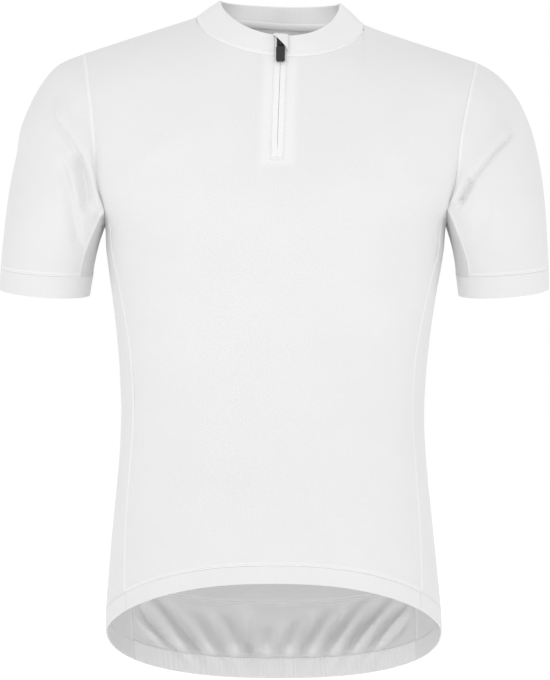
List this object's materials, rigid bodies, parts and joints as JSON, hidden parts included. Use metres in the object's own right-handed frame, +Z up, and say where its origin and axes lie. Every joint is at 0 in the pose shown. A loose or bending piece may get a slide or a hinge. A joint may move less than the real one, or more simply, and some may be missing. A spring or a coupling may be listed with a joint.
{
  "type": "cycling jersey",
  "caption": "Short-sleeved cycling jersey with a stand-up collar, short front zip, back pockets and a long gathered back hem, filled out as it is worn, with nobody in it.",
  "frame": {"origin": "between the shoulders, level with the points where the shoulder seams meet the neck, where the wearer holds the jersey up", "axes": "+X to the wearer's left, +Y to the wearer's back, +Z up"},
  "size_m": [0.632, 0.2538, 0.7953],
  "materials": {
    "mesh_knit": "white polyester mesh knit, matt",
    "open_mesh": "white open mesh knit, matt",
    "smooth_knit": "white smooth knit, folded double, matt",
    "elastic_band": "white elasticated band, gathered",
    "zip_tape": "white woven zip tape",
    "zip_moulding": "dark grey moulding, satin"
  },
  "bodies": {
    "jersey": {"front_panel": "mesh_knit", "back_panel": "mesh_knit", "back_tail": "mesh_knit", "side_panel_left": "mesh_knit", "side_panel_right": "mesh_knit", "sleeve_left": "mesh_knit", "sleeve_right": "mesh_knit", "sleeve_gusset_left": "open_mesh", "sleeve_gusset_right": "open_mesh", "cuff_left": "smooth_knit", "cuff_right": "smooth_knit", "collar": "smooth_knit", "front_hem": "smooth_knit", "side_hem_left": "smooth_knit", "side_hem_right": "smooth_knit", "back_hem_band": "elastic_band", "pocket_left": "mesh_knit", "pocket_centre": "mesh_knit", "pocket_right": "mesh_knit", "zip_tape_left": "zip_tape", "zip_tape_right": "zip_tape", "zip_guard": "smooth_knit", "zip_garage": "smooth_knit", "zip_slider": "zip_moulding"},
    "pull_tab": {"zip_pull": "zip_moulding"}
  },
  "joints": [
    {"name": "pull_flip", "type": "hinge", "parent": "jersey", "child": "pull_tab", "pos_m": [0, -0.06447, -0.02978], "axis": [-1, 0, 0], "range_deg": [0, 80]}
  ]
}
